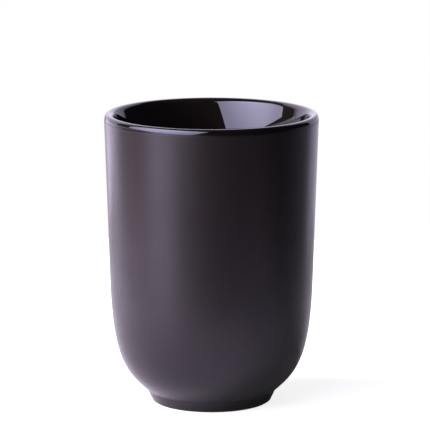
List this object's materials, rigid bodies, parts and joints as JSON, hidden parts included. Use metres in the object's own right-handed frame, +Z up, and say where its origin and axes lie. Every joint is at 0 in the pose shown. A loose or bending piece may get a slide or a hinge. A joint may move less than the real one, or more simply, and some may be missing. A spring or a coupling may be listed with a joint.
{
  "type": "handleless cup",
  "caption": "Handleless stoneware drinking cup with a near-straight wall, rounded belly and low foot ring, gloss glazed inside and over the lip and satin glazed outside.",
  "frame": {"origin": "centre of the foot on the surface that the cup stands on", "axes": "+Z up along the cup's axis of rotation; +X and +Y are alike, because the cup is round"},
  "size_m": [0.077, 0.077, 0.1052],
  "materials": {
    "bare_stoneware": "unglazed fired stoneware, matt and slightly gritty, seen only on the ring that stands on the table",
    "gloss_black_glaze": "glossy black glaze inside and over the lip",
    "satin_black_glaze": "satin black glaze with a soft sheen, outside and in the recess under the foot"
  },
  "bodies": {
    "root": {"clay_body": "bare_stoneware", "gloss_liner_glaze": "gloss_black_glaze", "satin_outer_glaze": "satin_black_glaze", "recess_glaze": "satin_black_glaze"}
  },
  "joints": []
}
